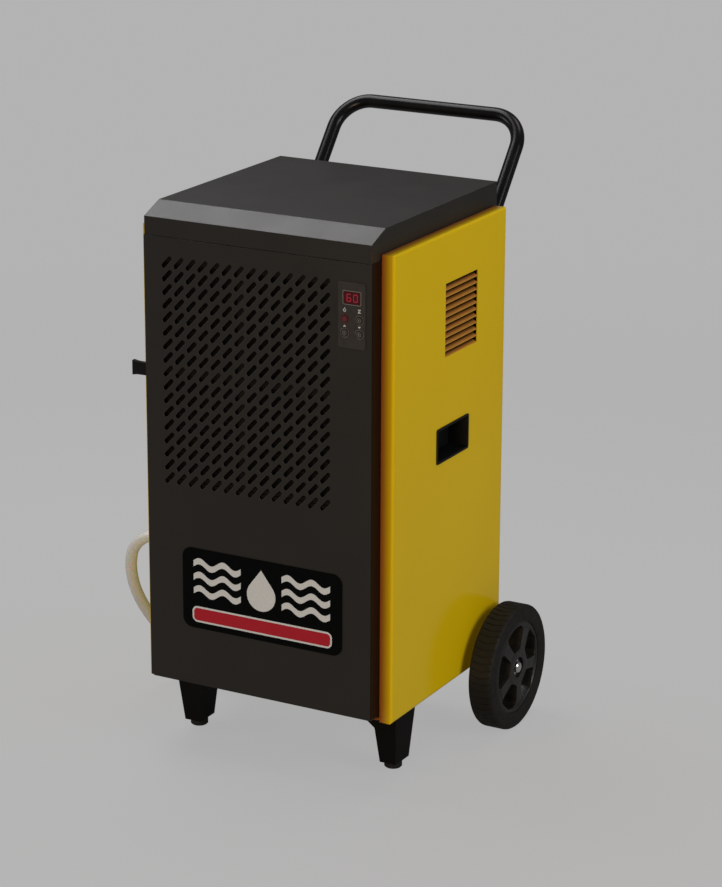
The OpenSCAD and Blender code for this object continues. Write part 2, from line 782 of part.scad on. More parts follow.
module filter_frame() color(rubber_black) difference() {
    union() {
        upright(filter_y, filter_t) filter_outline();
        // end plate that closes the slot in the cabinet's side, and the web behind it
        box_between([-side_x - plate_gap - 2, filter_y - 3, filter_bottom - 7],
            [-side_x - plate_gap, filter_y + filter_t + 5, filter_top + 7]);
        box_between([-side_x - plate_gap, filter_y, filter_bottom],
            [filter_left, filter_y + filter_t, filter_top]);
        // flared pull tab
        upright(filter_y + 0.5, filter_t - 1) translate([-side_x, tab_z]) polygon([
            [-1, -9.5], [-22, -10], [-31, -11.5], [-31, 11.5], [-22, 10], [-1, 9.5]]);
    }
    // groove that holds the grid
    box_between([filter_left + grid_inset - 1, filter_y + 2.9, filter_bottom + grid_inset - 1],
        [filter_right - grid_inset + 1, filter_y + 5.1, filter_top - grid_inset + 1]);
}

module filter_grid() color(rubber_black) upright(filter_y + 3, 2) {
    low_x = filter_left + grid_inset;
    low_z = filter_bottom + grid_inset;
    width = filter_right - filter_left - 2 * grid_inset;
    height = filter_top - filter_bottom - 2 * grid_inset;
    for (i = [0 : grid_bars_x - 1])
        translate([low_x + i * (width - grid_bar) / (grid_bars_x - 1), low_z]) square([grid_bar, height]);
    for (j = [0 : grid_bars_z - 1])
        translate([low_x, low_z + j * (height - grid_bar) / (grid_bars_z - 1)]) square([width, grid_bar]);
}

// ---------- Coils ----------

// Y of one of a coil's two rows of tubes
function row_y(front, row) = front_y + front + coil_depth / 2 + (row - 0.5) * coil_row_gap;

module coil_holes(front) {
    for (row = [0, 1], k = [0 : coil_row_count - 1])
        translate([row_y(front, row), coil_first_z + k * coil_tube_pitch]) circle(d = coil_tube_d + 0.1);
}

module coil_fins(front) {
    for (k = [0 : fin_count - 1])
        sideways(-fin_half_span + k * 2 * fin_half_span / (fin_count - 1) - fin_t / 2, fin_t) difference() {
            translate([front_y + front, fin_bottom]) square([coil_depth, fin_top - fin_bottom]);
            coil_holes(front);
        }
    // end plates stand in the drip tray
    for (side = [-1, 1]) sideways(side * plate_x - 0.75, 1.5) difference() {
        translate([front_y + front - 2, tray_bottom + tray_wall])
            square([coil_depth + 4, fin_top + 12 - tray_bottom]);
        coil_holes(front);
    }
}

module coil_tubes(front) {
    reach = plate_x + 3;
    for (row = [0, 1]) {
        y = row_y(front, row);
        for (k = [0 : coil_row_count - 1])
            bar_x(-reach, reach, y, coil_first_z + k * coil_tube_pitch, coil_tube_d);
        for (k = [0 : coil_row_count - 2]) on_side(k % 2 == 0 ? 1 : -1)
            translate([reach, y, coil_first_z + (k + 0.5) * coil_tube_pitch]) rotate([90, 0, 0])
                rotate([0, 0, -90]) rotate_extrude(angle = 180)
                    translate([coil_tube_pitch / 2, 0]) circle(d = coil_tube_d);
    }
}

module evaporator_fins() color(alloy) coil_fins(evaporator_front);
module evaporator_tubes() color(copper) coil_tubes(evaporator_front);
module condenser_fins() color(alloy) coil_fins(condenser_front);
module condenser_tubes() color(copper) coil_tubes(condenser_front);

// ---------- Drip tray and drain ----------

module drip_tray() color(plastic_grey) difference() {
    box_between([-inner_x, front_y + tray_front, tray_bottom], [inner_x, front_y + tray_back, tray_top]);
    box_between([-inner_x + tray_wall, front_y + tray_front + tray_wall, tray_bottom + tray_wall],
        [inner_x - tray_wall, front_y + tray_back - tray_wall, tray_top + 1]);
    bar_x(-inner_x - 1, -inner_x + 4, front_y + spigot_back, spigot_z, 16.1);
}

module drain_spigot() color(rubber_black) translate([-cover_x, front_y + spigot_back, spigot_z])
    rotate([0, 90, 0]) difference() {
        shaft_end = cover_x - inner_x + tray_wall;
        rotate_extrude() polygon([
            [0, -25], [6.2, -25], [7.4, -19], [6.5, -19], [6.5, -17], [7.4, -11], [6.5, -11], [6.5, -4],
            [14, -4], [14, 0], [8, 0], [8, shaft_end], [14, shaft_end], [14, shaft_end + 4],
            [8, shaft_end + 4], [8, shaft_end + 7], [0, shaft_end + 7]]);
        translate([0, 0, -30]) cylinder(d = spigot_bore_d, h = 80);
    }

module hose_clip() color(zinc) translate([-cover_x - 17, front_y + spigot_back, spigot_z]) {
    difference() {
        union() {
            rotate([0, 90, 0]) cylinder(d = hose_d + 2.2, h = 7);
            box_between([0, -4, hose_d / 2 + 0.5], [7, 4, hose_d / 2 + 7]);
        }
        translate([-1, 0, 0]) rotate([0, 90, 0]) cylinder(d = hose_d + 0.1, h = 9);
        box_between([-1, -1.2, hose_d / 2 - 2], [8, 1.2, hose_d / 2 + 8]);
    }
    translate([3.5, 5.6, hose_d / 2 + 4]) rotate([90, 0, 0]) cylinder(d = 3, h = 11.2);
}

// ---------- Drain hose ----------

// Points on a smooth curve through the route
function blend(a, b, c, d, t) =
    0.5 * (2 * b + (c - a) * t + (2 * a - 5 * b + 4 * c - d) * t * t + (3 * b - a - 3 * c + d) * t * t * t);
function route_at(path, i) = path[max(0, min(len(path) - 1, i))];
function smooth_route(path, steps) = concat(
    [for (i = [0 : len(path) - 2], k = [0 : steps - 1])
        blend(route_at(path, i - 1), path[i], path[i + 1], route_at(path, i + 2), k / steps)],
    [path[len(path) - 1]]);
function unit(v) = v / norm(v);
function heading(path, i) = unit(route_at(path, i + 1) - route_at(path, i - 1));
// The first side direction is level, and the second stands across both
function level_across(d) = unit(cross(d, abs(d[2]) > 0.999 ? [0, 1, 0] : [0, 0, 1]));
function ring(path, i, r, n) = let (d = heading(path, i), u = level_across(d), v = cross(u, d))
    [for (k = [0 : n - 1]) path[i] + r * (u * cos(360 * k / n) + v * sin(360 * k / n))];

module swept_tube(path, r, n) {
    count = len(path);
    points = [for (i = [0 : count - 1], p = ring(path, i, r, n)) p];
    walls = [for (i = [0 : count - 2], k = [0 : n - 1])
        [i * n + k, i * n + (k + 1) % n, (i + 1) * n + (k + 1) % n, (i + 1) * n + k]];
    start = [for (k = [n - 1 : -1 : 0]) k];
    end = [for (k = [0 : n - 1]) (count - 1) * n + k];
    polyhedron(points = points, faces = concat([start], walls, [end]));
}

module drain_hose() color(hose_cream) swept_tube(smooth_route(hose_route, 2), hose_d / 2, hose_sides);

module hose_coil() color(hose_cream) translate([coil_x, coil_y, 0]) rotate_extrude($fn = 64)
    translate([hose_coil_r, hose_d]) rounded_rect(2 * hose_d, 2 * hose_d, hose_d / 2);

// ---------- Compressor and refrigerant circuit ----------

module compressor() color(gloss_black) translate([compressor_x, front_y + compressor_back, 0]) {
    rotate_extrude() polygon(concat(
        [[0, compressor_bottom], [compressor_d / 2 - 8, compressor_bottom],
            [compressor_d / 2, compressor_bottom + 8]],
        [for (a = [0 : 15 : 75]) [compressor_d / 2 * cos(a), compressor_top - 30 + 30 * sin(a)]],
        [[0, compressor_top]]));
    translate([0, 0, compressor_bottom + 78]) cylinder(d = compressor_d + 4, h = 3);
    difference() {
        translate([0, 0, compressor_bottom - 4]) linear_extrude(3) rounded_rect(124, 124, 14);
        for (i = [-1, 1], j = [-1, 1]) translate([i * mount_reach, j * mount_reach, compressor_bottom - 5])
            cylinder(d = 14.2, h = 6);
    }
    translate([0, 0, compressor_bottom - 2]) cylinder(d = compressor_d - 20, h = 4);
    translate([30, 0, compressor_top - 12]) cylinder(d = 26, h = 16);
}

module compressor_mounts() color(rubber_black) for (i = [-1, 1], j = [-1, 1])
    translate([compressor_x + i * mount_reach, front_y + compressor_back + j * mount_reach, 0]) {
        difference() {
            rotate_extrude() polygon([
                [0, pan_top], [11, pan_top], [11, compressor_bottom - 4], [7, compressor_bottom - 4],
                [7, compressor_bottom - 1], [10, compressor_bottom - 1], [9, compressor_bottom + 2],
                [0, compressor_bottom + 2]]);
            translate([0, 0, pan_top - 1]) cylinder(d = 8.1, h = 40);
        }
        translate([0, 0, pan_bottom - 4]) cylinder(d = 8, h = compressor_bottom + 10 - pan_bottom);
        translate([0, 0, compressor_bottom + 2.2]) cylinder(d = 15, h = 5, $fn = 6);
        translate([0, 0, pan_bottom - 4]) cylinder(d = 15, h = 4, $fn = 6);
    }

module accumulator() color(gloss_black) translate([accumulator_x, front_y + compressor_back, 0]) {
    translate([0, 0, 180]) cylinder(d = accumulator_d, h = 90);
    for (end = [0, 1]) translate([0, 0, 180 + 90 * end]) intersection() {
        sphere(d = accumulator_d);
        translate([0, 0, end == 1 ? 15 : -15]) cube([60, 60, 34], center = true);
    }
    // strap to the compressor's shell, above the shell's seam
    box_between([accumulator_d / 2 - 3, -8, 223],
        [compressor_x - accumulator_x - compressor_d / 2, 8, 235]);
}

module refrigerant_pipes() color(copper) {
    low = coil_first_z;
    high = coil_first_z + (coil_row_count - 1) * coil_tube_pitch;
    evaporator_y = [for (row = [0, 1]) row_y(evaporator_front, row)];
    condenser_y = [for (row = [0, 1]) row_y(condenser_front, row)];
    left = -plate_x - 3;
    gas_x = compressor_x - 25;
    compressor_y = front_y + compressor_back;
    // joints between the two rows of each coil
    for (y = [evaporator_y, condenser_y])
        pipe_run([[left, y[0], high], [left - 18, y[0], high], [left - 18, y[1], high],
            [left, y[1], high]], 8);
    // hot gas from the compressor to the condenser
    pipe_run([[gas_x, compressor_y - 30, compressor_top - 8], [gas_x, compressor_y - 30, 322],
        [left - 8, compressor_y - 90, 336], [left - 14, condenser_y[1] + 2, low],
        [left, condenser_y[1], low]], 8);
    // liquid through the filter drier and the capillary to the evaporator
    pipe_run([[left, condenser_y[0], low], [left - 10, condenser_y[0], low],
        [left - 10, condenser_y[0] - 22, low], [left - 14, evaporator_y[1] + 4, low],
        [left, evaporator_y[1], low]], 6);
    bar_y(condenser_y[0] - 20, condenser_y[0] - 10, left - 10, low, 14);
    // cold gas back to the accumulator
    pipe_run([[left, evaporator_y[0], low], [left - 22, evaporator_y[0], low],
        [left - 22, evaporator_y[0], 330], [left - 22, compressor_y - 60, 330],
        [accumulator_x - 90, compressor_y, 318], [accumulator_x, compressor_y, 318],
        [accumulator_x, compressor_y, 294]], 8);
    pipe_run([[accumulator_x, compressor_y, 162], [accumulator_x, compressor_y, 148],
        [accumulator_x + 20, compressor_y, 148],
        [compressor_x - compressor_d / 2 + 1, compressor_y, 160]], 8);
}

// ---------- Fan ----------

module fan_shroud() color(zinc) {
    upright(front_y + shroud_back, 1.5) difference() {
        translate([-inner_x + 0.5, shroud_bottom]) square([2 * inner_x - 1, 820 - shroud_bottom]);
        translate([0, fan_z]) circle(d = shroud_hole_d);
        // notches around the two grip cups
        for (side = [-1, 1]) translate([side * inner_x, (grip_bottom + grip_top) / 2])
            square([34, grip_top - grip_bottom + 8], center = true);
    }
    upright(front_y + shroud_back, 34) difference() {
        translate([0, fan_z]) circle(d = shroud_hole_d + 4);
        translate([0, fan_z]) circle(d = shroud_hole_d);
    }
}

module fan_blade_slab() {
    intersection() {
        translate([0, 0, -20]) cylinder(d = fan_d, h = 40);
        translate([26, 0, 0]) rotate([28, 0, 0]) translate([0, -48, -1.25]) cube([140, 96, 2.5]);
    }
}

module fan_impeller() color(rubber_black) translate([0, front_y + fan_back, fan_z]) rotate([90, 0, 0])
    difference() {
        union() {
            translate([0, 0, -18]) cylinder(d = 74, h = 36);
            for (k = [0 : 4]) rotate([0, 0, 72 * k]) fan_blade_slab();
        }
        translate([0, 0, -40]) cylinder(d = shaft_d + 0.1, h = 80);
        translate([0, 0, -19]) cylinder(d = 60, h = 12);
    }

module fan_motor() color(gloss_black) translate([0, 0, fan_z]) {
    difference() {
        union() {
            bar_y(front_y + motor_back, front_y + motor_back + motor_length, 0, 0, motor_d);
            bar_y(front_y + motor_back - 5, front_y + motor_back + 1, 0, 0, 30);
        }
        for (k = [0 : 11]) rotate([0, 30 * k, 0])
            box_between([motor_d / 2 - 3, front_y + motor_back + 12, -2.5],
                [motor_d / 2 + 2, front_y + motor_back + 56, 2.5]);
    }
    bar_y(front_y + fan_back - 22, front_y + motor_back, 0, 0, shaft_d);
}

module motor_bracket() color(zinc) {
    y = front_y + motor_back + motor_length;
    upright(y, 3) difference() {
        translate([-inner_x, fan_z - 17]) square([2 * inner_x, 34]);
        for (i = [-1, 1]) translate([i * 30, fan_z]) circle(d = 5);
    }
    for (side = [-1, 1]) on_side(side) difference() {
        box_between([inner_x - 3, y, fan_z - 17], [inner_x, y + 24, fan_z + 17]);
        bar_x(inner_x - 5, inner_x + 1, y + 14, fan_z, 5);
    }
}

// ---------- Electrics ----------

module control_box() color(zinc) difference() {
    box_between([92, front_y + 322, 700], [inner_x - 1, front_y + 396, 820]);
    box_between([93.5, front_y + 323.5, 701.5], [inner_x - 2.5, front_y + 397, 818.5]);
    bar_x(80, 100, front_y + 360, 720, 12);
}

module power_board() color(board_green) {
    box_between([100, front_y + 330, 710], [184, front_y + 331.6, 810]);
    for (z = [725, 760]) box_between([108, front_y + 331.6, z], [136, front_y + 352, z + 18]);
    box_between([150, front_y + 331.6, 720], [176, front_y + 344, 760]);
    bar_y(front_y + 331.6, front_y + 360, 160, 786, 26);
    for (z = [712, 806]) box_between([104, front_y + 323.5, z], [110, front_y + 330, z + 3]);
}

module humidity_sensor() color("white") {
    box_between([140, front_y + 21, 690], [152, front_y + 26, 712]);
    bar_y(front_y + 26, front_y + 28, 146, 695, 5);
}

module cable_gland() color(rubber_black) translate([gland_x, 0, gland_z]) difference() {
    union() {
        translate([0, back_y + 6, 0]) rotate([90, 0, 0]) cylinder(d = 27, h = 6, $fn = 6);
        bar_y(back_y - 12, back_y + 7, 0, 0, 20);
        translate([0, back_y - sheet, 0]) rotate([90, 0, 0]) cylinder(d = 27, h = 5, $fn = 6);
        translate([0, back_y + 6, 0]) rotate([-90, 0, 0]) rotate_extrude() polygon([
            [0, 0], [11.5, 0], [11.5, 9], [9.5, 14], [7, 16], [0, 16]]);
    }
    bar_y(back_y - 20, back_y + 30, 0, 0, 9);
}

module cabinet_screws() color(zinc) for (side = [-1, 1], z = rear_screw_z) {
    x = side * (side_x - 8);
    bar_y(back_y - 8, back_y + 0.1, x, z, screw_d);
    translate([x, back_y, z]) rotate([-90, 0, 0]) rotate_extrude() polygon([
        [0, 0], [4, 0], [4, 1], [3, 2.2], [0, 2.5]]);
}

base_pan();
front_panel();
cabinet_side(-1);  // cabinet_side_left
cabinet_side(1);  // cabinet_side_right
rear_panel();
lid();
side_cover(-1);  // side_cover_left
side_cover(1);  // side_cover_right
grip_cup(-1);  // grip_cup_left
grip_cup(1);  // grip_cup_right
leg(-1);  // leg_left
leg(1);  // leg_right
foot(-1);  // foot_left
foot(1);  // foot_right
axle();
axle_brackets();
axle_caps();
push_handle();
handle_clamps();
handle_bolts();
badge_plate();
badge_emblem();
badge_bar();
control_panel();
display_window();
control_board();
button(button_x[0], button_z[0]);  // button_power
button(button_x[1], button_z[0]);  // button_timer
button(button_x[0], button_z[1]);  // button_up
button(button_x[1], button_z[1]);  // button_down
filter_rails();
filter_frame();
filter_grid();
evaporator_fins();
evaporator_tubes();
condenser_fins();
condenser_tubes();
drip_tray();
drain_spigot();
hose_clip();
drain_hose();
hose_coil();
compressor();
compressor_mounts();
accumulator();
refrigerant_pipes();
fan_shroud();
fan_motor();
motor_bracket();
fan_impeller();
control_box();
power_board();
humidity_sensor();
cable_gland();
cabinet_screws();
tyre(-1);  // tyre_left
tyre(1);  // tyre_right
rim(-1);  // rim_left
rim(1);  // rim_right
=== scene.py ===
"""The looks of a portable site dehumidifier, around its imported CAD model."""
import json
import math

import bmesh
import bpy
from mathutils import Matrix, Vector


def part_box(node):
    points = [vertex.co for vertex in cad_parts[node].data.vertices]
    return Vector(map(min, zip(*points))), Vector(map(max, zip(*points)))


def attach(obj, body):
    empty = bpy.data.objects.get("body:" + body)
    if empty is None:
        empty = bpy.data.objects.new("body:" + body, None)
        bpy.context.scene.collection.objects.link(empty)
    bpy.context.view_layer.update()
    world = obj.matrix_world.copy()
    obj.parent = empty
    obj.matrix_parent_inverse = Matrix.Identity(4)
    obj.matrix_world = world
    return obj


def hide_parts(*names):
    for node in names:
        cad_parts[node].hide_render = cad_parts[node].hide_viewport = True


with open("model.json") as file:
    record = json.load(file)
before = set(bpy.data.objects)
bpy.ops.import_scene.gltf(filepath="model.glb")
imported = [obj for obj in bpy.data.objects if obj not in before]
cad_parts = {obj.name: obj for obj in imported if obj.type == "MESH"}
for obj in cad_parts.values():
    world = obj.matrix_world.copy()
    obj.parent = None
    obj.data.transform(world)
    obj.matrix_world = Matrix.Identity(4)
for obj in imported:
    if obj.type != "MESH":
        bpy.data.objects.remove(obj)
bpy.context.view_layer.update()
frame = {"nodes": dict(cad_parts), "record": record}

# ---------- Places, in metres ----------

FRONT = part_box("front_panel")[0].y
PANEL_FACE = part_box("control_panel")[0].y
BADGE_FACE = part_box("badge_plate")[0].y
CABINET_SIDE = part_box("cabinet_side_right")[1].x
COVER_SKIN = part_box("side_cover_right")[1].x
# width and height of the hole in the control panel for the display
DISPLAY_W, DISPLAY_H = 0.0284, 0.0190
# the block of louvres in a side cover: middle and half length along each axis
LOUVRES = {"Y": (FRONT + 0.245, 0.053), "Z": (0.70345, 0.05705)}
LOUVRE_BOTTOM = 0.645
LOUVRE_PITCH = 0.0105

# ---------- Camera ----------

CAMERA_AT = Vector((2.186, -3.958, 1.866))
CAMERA_TO = Vector((0.078, -0.105, 0.493))
CAMERA_ROLL = math.radians(0.21)
CAMERA_LENS = 121.47


def make_camera():
    """A camera at the photograph's angle."""
    data = bpy.data.cameras.new("camera")
    data.sensor_width = 36
    data.lens = CAMERA_LENS
    camera = bpy.data.objects.new("camera", data)
    camera.location = CAMERA_AT
    camera.rotation_euler = (CAMERA_TO - CAMERA_AT).to_track_quat("-Z", "Y").to_euler()
    camera.rotation_euler.rotate_axis("Z", CAMERA_ROLL)
    bpy.context.scene.collection.objects.link(camera)
    bpy.context.scene.camera = camera


make_camera()

# ---------- Drain hose ----------

HOSE_D = 0.019
HOSE_RUN = [
    (-0.224, -0.136, 0.296), (-0.242, -0.136, 0.296), (-0.262, -0.136, 0.296), (-0.288, -0.135, 0.291),
    (-0.311, -0.132, 0.278), (-0.328, -0.127, 0.259), (-0.337, -0.121, 0.236), (-0.341, -0.114, 0.210),
    (-0.341, -0.103, 0.180), (-0.338, -0.086, 0.148), (-0.333, -0.064, 0.116), (-0.327, -0.036, 0.084),
    (-0.320, -0.002, 0.054), (-0.312, 0.036, 0.030), (-0.306, 0.075, 0.015), (-0.302, 0.114, 0.010),
    (-0.300, 0.154, 0.010), (-0.300, 0.194, 0.010), (-0.296, 0.229, 0.010), (-0.286, 0.262, 0.010),
    (-0.270, 0.289, 0.010), (-0.250, 0.311, 0.010), (-0.228, 0.331, 0.010),
]
COIL_AT = Vector((-0.130, 0.264))
COIL_OUTER = 0.1145
COIL_INNER = 0.0955
COIL_LENGTH = 1.70
# in degrees: where the hose joins its coil, and the turns over which it moves inward and climbs
COIL_START = 134
COIL_INWARD = (304, 360)
COIL_CLIMB = (622, 686)


def smooth_step(x, low, high):
    """Rises smoothly from 0 at low to 1 at high."""
    x = min(1.0, max(0.0, (x - low) / (high - low)))
    return x * x * (3 - 2 * x)


def curve_between(points, steps):
    """Points on a smooth curve through the given points."""
    made = []
    for i in range(len(points) - 1):
        a, b, c, d = (points[max(0, min(len(points) - 1, i + k))] for k in (-1, 0, 1, 2))
        for k in range(steps):
            t = k / steps
            made.append(0.5 * (2 * b + (c - a) * t + (2 * a - 5 * b + 4 * c - d) * t * t
                               + (3 * b - a - 3 * c + d) * t ** 3))
    made.append(points[-1])
    return made


def coil_point(turned):
    """A point of the coil after turning that many degrees clockwise from where the hose joins it."""
    angle = math.radians(COIL_START - turned)
    inward = smooth_step(turned, *COIL_INWARD)
    climb = smooth_step(turned, *COIL_CLIMB)
    radius = COIL_OUTER + (COIL_INNER - COIL_OUTER) * inward
    height = HOSE_D / 2 * 1.01 + HOSE_D * climb * 0.99
    return Vector((COIL_AT.x + radius * math.cos(angle), COIL_AT.y + radius * math.sin(angle), height))


def coil_points():
    """Points of the coil every 5 degrees, until it holds its length of hose."""
    points, length, turned = [coil_point(0)], 0.0, 0
    while length < COIL_LENGTH:
        turned += 5
        points.append(coil_point(turned))
        length += (points[-1] - points[-2]).length
    return points


def make_hose():
    """The hose as one round curve: the run down from the spigot, then the coil."""
    coil = coil_points()
    run = curve_between([Vector(p) for p in HOSE_RUN] + [coil[0]], 6)
    line = run + coil[1:]
    data = bpy.data.curves.new("drain_hose_tube", "CURVE")
    data.dimensions = "3D"
    data.bevel_depth = HOSE_D / 2
    data.bevel_resolution = 6
    data.use_fill_caps = True
    spline = data.splines.new("POLY")
    spline.points.add(len(line) - 1)
    for point, place in zip(spline.points, line):
        point.co = (*place, 1)
    spline.use_smooth = True
    hose = bpy.data.objects.new("drain_hose_tube", data)
    bpy.context.scene.collection.objects.link(hose)
    return hose


# ---------- Materials ----------


class Paint:
    """A material with one Principled shader, and short ways to add nodes to it."""

    def __init__(self, name, color, roughness, metallic=0.0):
        self.material = bpy.data.materials.new(name)
        self.material.use_nodes = True
        self.tree = self.material.node_tree
        self.shader = self.tree.nodes["Principled BSDF"]
        self.shader.inputs["Base Color"].default_value = (*color, 1)
        self.shader.inputs["Roughness"].default_value = roughness
        self.shader.inputs["Metallic"].default_value = metallic
        self.place = self.add("ShaderNodeTexCoord").outputs["Object"]
        self.split = None
        self.normal = None

    def add(self, kind, **values):
        node = self.tree.nodes.new(kind)
        for key, value in values.items():
            setattr(node, key, value)
        return node

    def link(self, start, end):
        self.tree.links.new(start, end)

    def set(self, **values):
        for key, value in values.items():
            self.shader.inputs[key.replace("_", " ")].default_value = value

    def noise(self, scale, detail=3.0, stretch=(1, 1, 1)):
        mapping = self.add("ShaderNodeMapping")
        mapping.inputs["Scale"].default_value = stretch
        self.link(self.place, mapping.inputs["Vector"])
        noise = self.add("ShaderNodeTexNoise")
        noise.inputs["Scale"].default_value = scale
        noise.inputs["Detail"].default_value = detail
        self.link(mapping.outputs["Vector"], noise.inputs["Vector"])
        return noise.outputs["Fac"]

    def ramp(self, factor, low, high, from_value, to_value):
        """Maps factor from low..high to from_value..to_value, smoothly."""
        node = self.add("ShaderNodeMapRange", interpolation_type="SMOOTHSTEP")
        node.inputs["From Min"].default_value = low
        node.inputs["From Max"].default_value = high
        node.inputs["To Min"].default_value = from_value
        node.inputs["To Max"].default_value = to_value
        self.link(factor, node.inputs["Value"])
        return node.outputs["Result"]

    def part_of_place(self, axis):
        """One coordinate of the place on the object, in metres."""
        if self.split is None:
            self.split = self.add("ShaderNodeSeparateXYZ")
            self.link(self.place, self.split.inputs["Vector"])
        return self.split.outputs[axis]

    def near(self, value, center, half):
        """1 where value is within half of center, and 0 elsewhere."""
        node = self.add("ShaderNodeMath", operation="COMPARE")
        self.link(value, node.inputs[0])
        node.inputs[1].default_value = center
        node.inputs[2].default_value = half
        return node.outputs["Value"]

    def multiply(self, a, b):
        node = self.add("ShaderNodeMath", operation="MULTIPLY")
        self.link(a, node.inputs[0])
        self.link(b, node.inputs[1])
        return node.outputs["Value"]

    def color(self, factor, first, second):
        """Sets the base colour to a mix of two colours, and returns that mix."""
        mix = self.add("ShaderNodeMix", data_type="RGBA")
        self.link(factor, mix.inputs["Factor"])
        mix.inputs["A"].default_value = (*first, 1)
        mix.inputs["B"].default_value = (*second, 1)
        self.link(mix.outputs["Result"], self.shader.inputs["Base Color"])
        return mix.outputs["Result"]

    def over(self, under, factor, color):
        """Lays a colour over the base colour where factor is high."""
        mix = self.add("ShaderNodeMix", data_type="RGBA")
        self.link(factor, mix.inputs["Factor"])
        self.link(under, mix.inputs["A"])
        mix.inputs["B"].default_value = (*color, 1)
        self.link(mix.outputs["Result"], self.shader.inputs["Base Color"])
        return mix.outputs["Result"]

    def two_tones(self, first, second, scale, detail=3.0):
        """Sets the base colour to a cloudy mix of two tones, and returns that mix."""
        return self.color(self.ramp(self.noise(scale, detail), 0.3, 0.7, 0, 1), first, second)

    def rough(self, factor, from_value, to_value, low=0.3, high=0.7):
        """Varies the roughness between two values."""
        self.link(self.ramp(factor, low, high, from_value, to_value), self.shader.inputs["Roughness"])

    def round_edges(self, radius):
        """Shades the edges as if they were rounded."""
        bevel = self.add("ShaderNodeBevel", samples=4)
        bevel.inputs["Radius"].default_value = radius
        self.normal = bevel.outputs["Normal"]
        self.link(self.normal, self.shader.inputs["Normal"])

    def edge(self, sharp=0.04):
        """How near a rounded edge is, from 0 to 1."""
        geometry = self.add("ShaderNodeNewGeometry")
        dot = self.add("ShaderNodeVectorMath", operation="DOT_PRODUCT")
        self.link(self.normal, dot.inputs[0])
        self.link(geometry.outputs["Normal"], dot.inputs[1])
        return self.ramp(dot.outputs["Value"], 1 - sharp, 1 - sharp / 8, 1, 0)

    def bump(self, height, strength, distance):
        bump = self.add("ShaderNodeBump")
        bump.inputs["Strength"].default_value = strength
        bump.inputs["Distance"].default_value = distance
        self.link(height, bump.inputs["Height"])
        if self.normal:
            self.link(self.normal, bump.inputs["Normal"])
        self.normal = bump.outputs["Normal"]
        self.link(self.normal, self.shader.inputs["Normal"])


def case_paint():
    """Fine textured dark powder coat with paler edges; on the cabinet's right side a painted shade, dark
    red-brown from a painted reflection of the yellow cover, and less gloss.
    """
    paint = Paint("case_paint", (0.0165, 0.0148, 0.0128), 0.42)
    paint.round_edges(0.0012)
    wear = paint.multiply(paint.edge(), paint.ramp(paint.noise(38), 0.42, 0.72, 0.1, 0.85))
    tone = paint.two_tones((0.0150, 0.0135, 0.0116), (0.0180, 0.0162, 0.0140), 6)
    tone = paint.over(tone, wear, (0.07, 0.065, 0.06))
    across = paint.part_of_place("X")
    start, end = CABINET_SIDE - 0.0012, CABINET_SIDE - 0.0004
    # painted shade and painted reflection: the cabinet's right side face is darkened to red-brown, as if
    # shaded and reflecting the yellow cover; its gloss is lowered too
    paint.over(tone, paint.ramp(across, start, end, 0, 0.9), (0.012, 0.0028, 0.0008))
    paint.link(paint.ramp(across, start, end, 0.5, 0.12), paint.shader.inputs["Specular IOR Level"])
    paint.rough(paint.noise(14, 5), 0.41, 0.45)
    paint.bump(paint.noise(1100, 2), 0.22, 0.0003)
    return paint


def louvre_block(paint, beside):
    """High on the louvres and the strips between them, 0 elsewhere; beside is the distance from x = 0."""
    block = paint.ramp(beside, CABINET_SIDE, CABINET_SIDE + 0.001, 0, 0.97)
    for axis, (center, half) in LOUVRES.items():
        block = paint.multiply(block, paint.near(paint.part_of_place(axis), center, half))
    return block


def height_in_louvre(paint):
    """Height above the lower edge of each louvre, as a part of the distance between two louvres."""
    climbed = paint.add("ShaderNodeMath", operation="MULTIPLY_ADD")
    paint.link(paint.part_of_place("Z"), climbed.inputs[0])
    climbed.inputs[1].default_value = 1 / LOUVRE_PITCH
    climbed.inputs[2].default_value = -LOUVRE_BOTTOM / LOUVRE_PITCH
    part = paint.add("ShaderNodeMath", operation="FRACT")
    paint.link(climbed.outputs["Value"], part.inputs[0])
    return part.outputs["Value"]


def cover_paint():
    """Smooth yellow powder coat, with painted shade: brown and dark bands on the louvres, and brown where
    the right cover nears the cabinet.
    """
    paint = Paint("cover_paint", (0.78, 0.52, 0.004), 0.18)
    paint.round_edges(0.002)
    wear = paint.multiply(paint.edge(), paint.ramp(paint.noise(45), 0.5, 0.75, 0, 0.6))
    tone = paint.two_tones((0.85, 0.565, 0.0025), (0.88, 0.595, 0.004), 3)
    tone = paint.over(tone, wear, (0.68, 0.39, 0.02))
    across = paint.part_of_place("X")
    distance = paint.add("ShaderNodeMath", operation="ABSOLUTE")
    paint.link(across, distance.inputs[0])
    beside = distance.outputs["Value"]
    # painted shade: the right cover's return next to the cabinet turns brown, as if shaded by the cabinet
    # and reflecting its dark paint
    right_half = paint.ramp(across, 0, 0.01, 0, 1)
    cabinet_shade = paint.ramp(beside, CABINET_SIDE, COVER_SKIN - 0.001, 0.9, 0)
    tone = paint.over(tone, paint.multiply(right_half, cabinet_shade), (0.30, 0.05, 0.02))
    block = louvre_block(paint, beside)
    height = height_in_louvre(paint)
    # painted shade in the louvres: each blade is brown-orange, as if shaded by the strip above
    tone = paint.over(tone, paint.multiply(block, paint.ramp(height, 0.0, 0.18, 0.5, 1)), (0.66, 0.27, 0.06))
    # painted shadow: the upper part of each louvre is almost black, where the gap under the strip above lies
    # in shade
    paint.over(tone, paint.multiply(block, paint.ramp(height, 0.18, 0.5, 0, 1)), (0.03, 0.008, 0.002))
    paint.rough(paint.noise(5, 2), 0.15, 0.19)
    paint.set(Specular_IOR_Level=0.2)
    paint.bump(paint.noise(420, 1), 0.05, 0.0002)
    return paint


